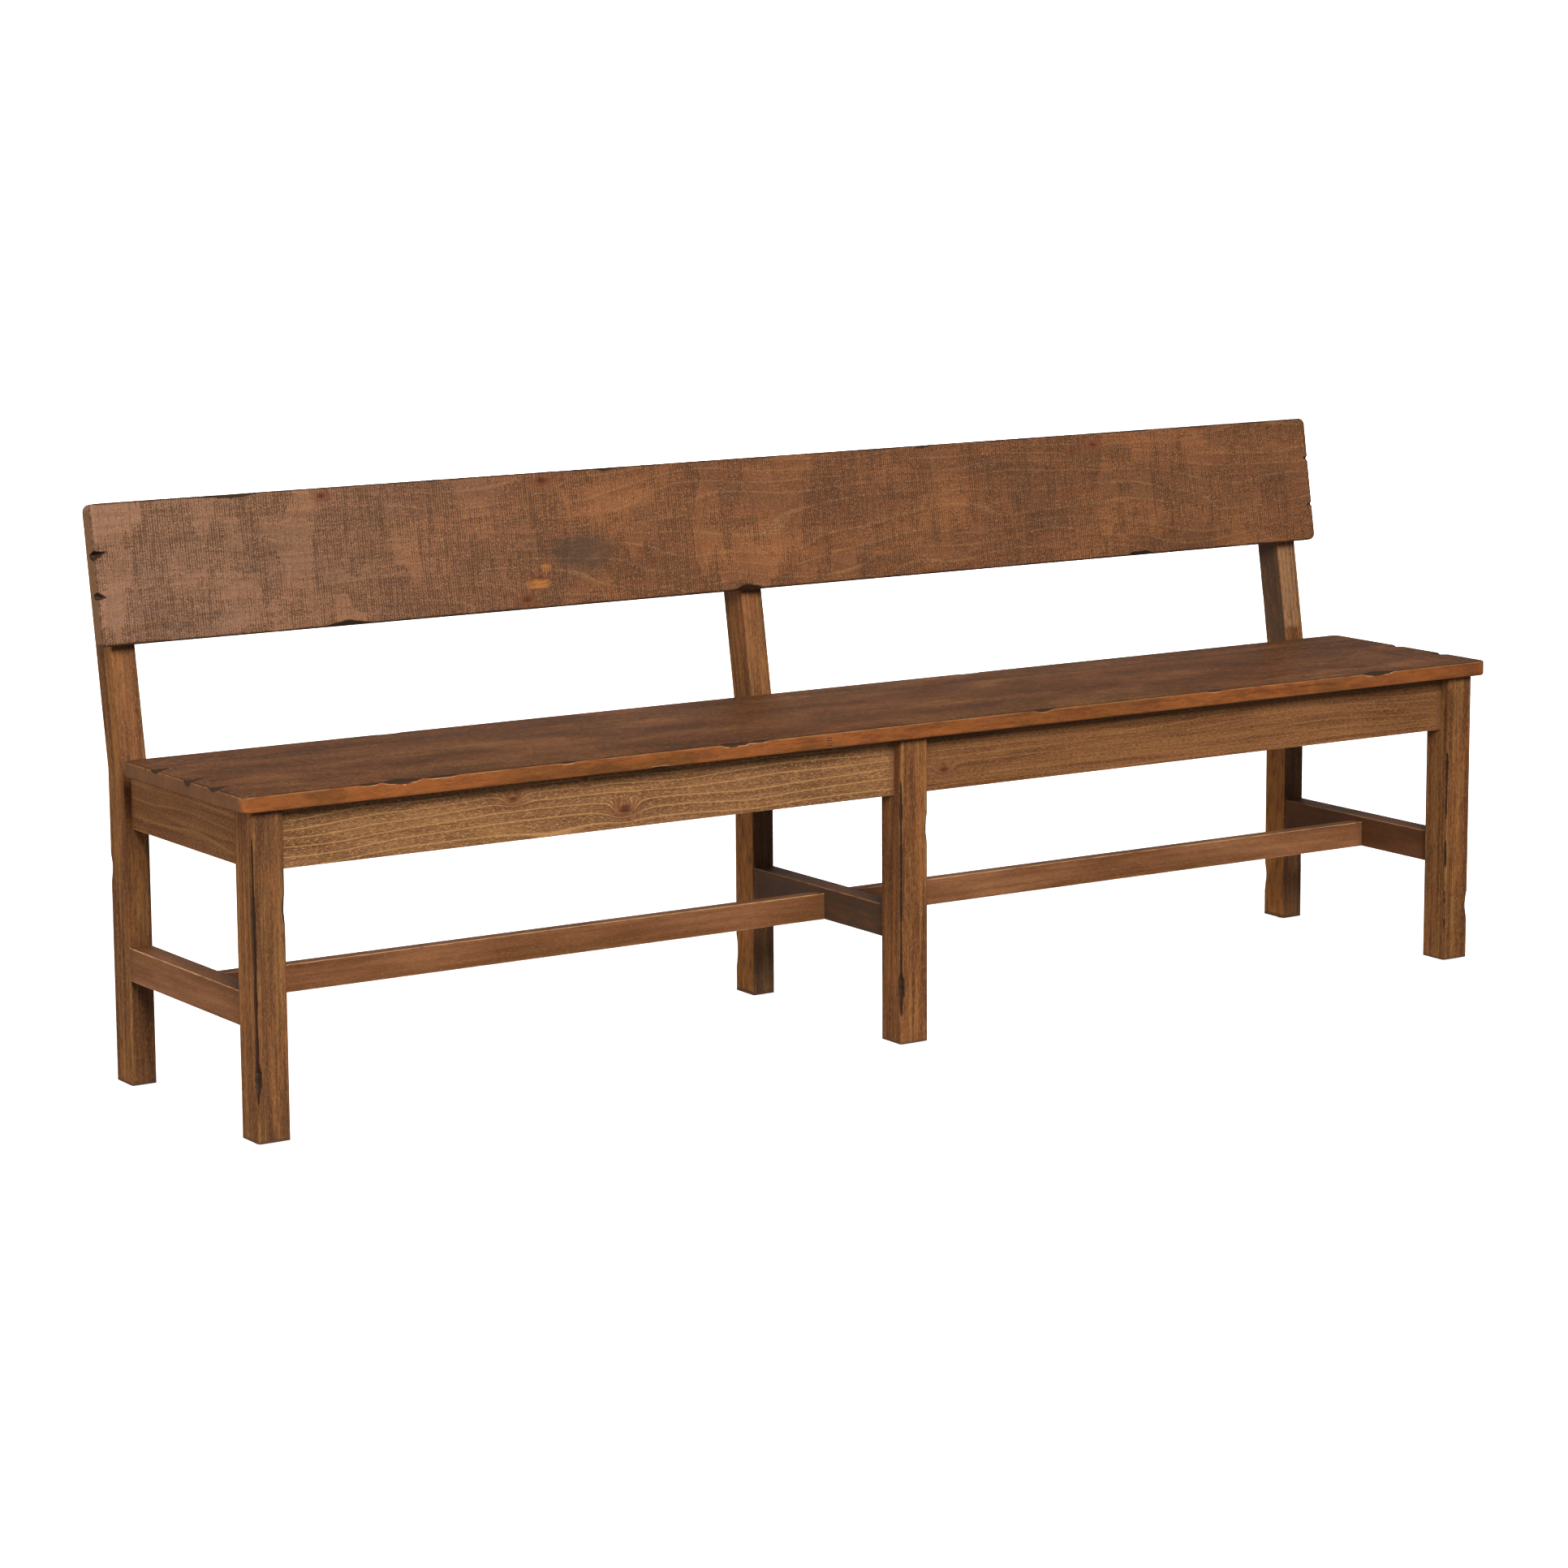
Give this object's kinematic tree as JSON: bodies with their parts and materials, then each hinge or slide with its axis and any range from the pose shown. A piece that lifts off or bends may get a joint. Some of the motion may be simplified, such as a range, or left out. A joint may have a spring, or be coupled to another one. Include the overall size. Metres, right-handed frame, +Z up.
{
  "type": "dining bench",
  "caption": "Long wooden dining bench with a plank seat, a leaning plank back on bent rear legs, aprons and low stretchers.",
  "frame": {"origin": "on the floor under the middle of the bench's outer box", "axes": "+X along the bench to the sitter's left, +Y to the back, +Z up"},
  "size_m": [2.072, 0.5012, 0.7887],
  "materials": {
    "seat_pine": "smooth brown stain over pine, satin, worn edges",
    "back_pine": "rough-sawn pine under brown stain, satin, dark worn edges",
    "leg_pine": "brown stained pine, satin, with cracks and dents",
    "rail_pine": "brown stained pine, satin",
    "block_pine": "plain unstained pine",
    "dowel_beech": "plain beech",
    "fixing_steel": "zinc plated",
    "glide_plastic": "matt black, moulded"
  },
  "bodies": {
    "root": {"apron_dowels": "dowel_beech", "back_board": "back_pine", "back_board_screws": "fixing_steel", "corner_block_front_left_end": "block_pine", "corner_block_front_left_middle": "block_pine", "corner_block_front_right_end": "block_pine", "corner_block_front_right_middle": "block_pine", "corner_block_rear_left_end": "block_pine", "corner_block_rear_left_middle": "block_pine", "corner_block_rear_right_end": "block_pine", "corner_block_rear_right_middle": "block_pine", "corner_block_screws": "fixing_steel", "cross_rail_dowels": "dowel_beech", "cross_stretcher_dowels": "dowel_beech", "cross_stretcher_left": "rail_pine", "cross_stretcher_middle": "rail_pine", "cross_stretcher_right": "rail_pine", "front_apron_left": "rail_pine", "front_apron_right": "rail_pine", "front_leg_left": "leg_pine", "front_leg_middle": "leg_pine", "front_leg_right": "leg_pine", "glide_front_left": "glide_plastic", "glide_front_middle": "glide_plastic", "glide_front_right": "glide_plastic", "glide_nails": "fixing_steel", "glide_rear_left": "glide_plastic", "glide_rear_middle": "glide_plastic", "glide_rear_right": "glide_plastic", "long_stretcher_dowels": "dowel_beech", "long_stretcher_left": "rail_pine", "long_stretcher_right": "rail_pine", "middle_cross_rail": "rail_pine", "rear_leg_left": "leg_pine", "rear_leg_middle": "leg_pine", "rear_leg_right": "leg_pine", "rear_rail_dowels": "dowel_beech", "rear_rail_left": "rail_pine", "rear_rail_right": "rail_pine", "seat_front_board": "seat_pine", "seat_middle_board": "seat_pine", "seat_rear_board": "seat_pine", "seat_screws": "fixing_steel", "side_apron_left": "rail_pine", "side_apron_right": "rail_pine"}
  },
  "joints": []
}
